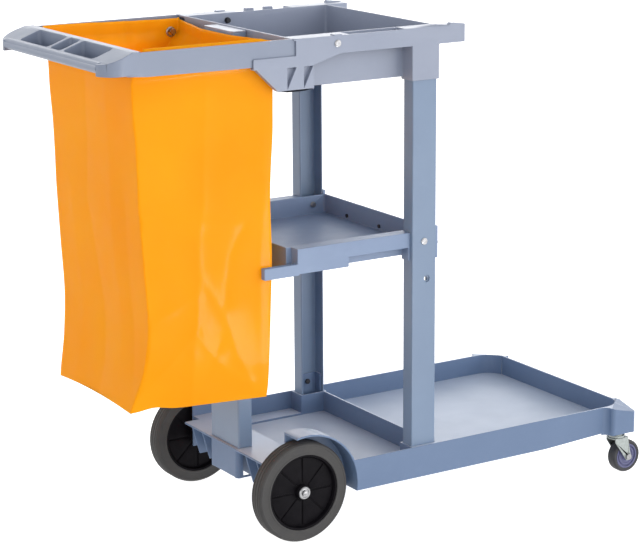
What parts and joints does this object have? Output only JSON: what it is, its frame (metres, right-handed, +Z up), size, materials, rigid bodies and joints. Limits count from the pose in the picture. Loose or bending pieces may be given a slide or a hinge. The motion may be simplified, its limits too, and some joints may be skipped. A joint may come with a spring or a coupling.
{
  "type": "janitor cart",
  "caption": "Janitor cart with a front platform, a mid shelf and a top tray on posts, a hung waste bag and a push handle with pockets, on fixed rear wheels and swivel casters.",
  "frame": {"origin": "on the floor under the middle of the cart", "axes": "+X from the push handle to the front platform, +Z up, the near side is -Y"},
  "size_m": [1.229, 0.517, 0.987],
  "materials": {
    "base_plastic": "matte",
    "post_plastic": "satin",
    "tray_plastic": "satin",
    "bag_cloth": "coated, glossy",
    "tyre_rubber": "matte",
    "hub_plastic": "satin",
    "steel": "plated",
    "zinc": "zinc plated",
    "caster_hub": "satin",
    "caster_rubber": "matte",
    "dark_metal": "black"
  },
  "bodies": {
    "chassis": {"base_tray": "base_plastic", "corner_post_near": "post_plastic", "corner_post_far": "post_plastic", "rear_post": "post_plastic", "rear_post_cap": "tray_plastic", "axle_block": "base_plastic", "mid_shelf": "post_plastic", "top_tray": "tray_plastic", "bag_frame": "tray_plastic", "waste_bag": "bag_cloth", "bag_eyelets": "steel", "bag_pegs": "steel", "rear_axle": "steel", "axle_spacers": "steel", "axle_caps": "steel", "rail_bolts": "steel", "rail_nuts": "dark_metal", "shelf_bolts": "steel", "shelf_nuts": "steel", "wing_bolts": "steel", "foot_clips": "base_plastic", "foot_bolts": "dark_metal", "rear_post_bolts": "steel", "shelf_screws": "dark_metal", "caster_stem_near": "steel", "caster_race_near": "zinc", "caster_stem_far": "steel", "caster_race_far": "zinc"},
    "rear_wheel_near": {"hub_near": "hub_plastic", "tyre_near": "tyre_rubber", "bush_near": "dark_metal"},
    "caster_near": {"caster_fork_near": "zinc", "caster_bolt_near": "steel"},
    "caster_near_wheel": {"caster_hub_near": "caster_hub", "caster_tread_near": "caster_rubber"},
    "rear_wheel_far": {"hub_far": "hub_plastic", "tyre_far": "tyre_rubber", "bush_far": "dark_metal"},
    "caster_far": {"caster_fork_far": "zinc", "caster_bolt_far": "steel"},
    "caster_far_wheel": {"caster_hub_far": "caster_hub", "caster_tread_far": "caster_rubber"}
  },
  "joints": [
    {"name": "rear_wheel_near_spin", "type": "hinge", "parent": "chassis", "child": "rear_wheel_near", "pos_m": [-0.2105, -0.21, 0.1], "axis": [0, 1, 0], "continuous": true},
    {"name": "caster_near_swivel", "type": "hinge", "parent": "chassis", "child": "caster_near", "pos_m": [0.5595, -0.239, 0.0795], "axis": [0, 0, 1], "continuous": true},
    {"name": "caster_near_roll", "type": "hinge", "parent": "caster_near", "child": "caster_near_wheel", "pos_m": [0.5795, -0.239, 0.035], "axis": [0, 1, 0], "continuous": true},
    {"name": "rear_wheel_far_spin", "type": "hinge", "parent": "chassis", "child": "rear_wheel_far", "pos_m": [-0.2105, 0.21, 0.1], "axis": [0, 1, 0], "continuous": true},
    {"name": "caster_far_swivel", "type": "hinge", "parent": "chassis", "child": "caster_far", "pos_m": [0.5595, 0.239, 0.0795], "axis": [0, 0, 1], "continuous": true},
    {"name": "caster_far_roll", "type": "hinge", "parent": "caster_far", "child": "caster_far_wheel", "pos_m": [0.5795, 0.239, 0.035], "axis": [0, 1, 0], "continuous": true}
  ]
}
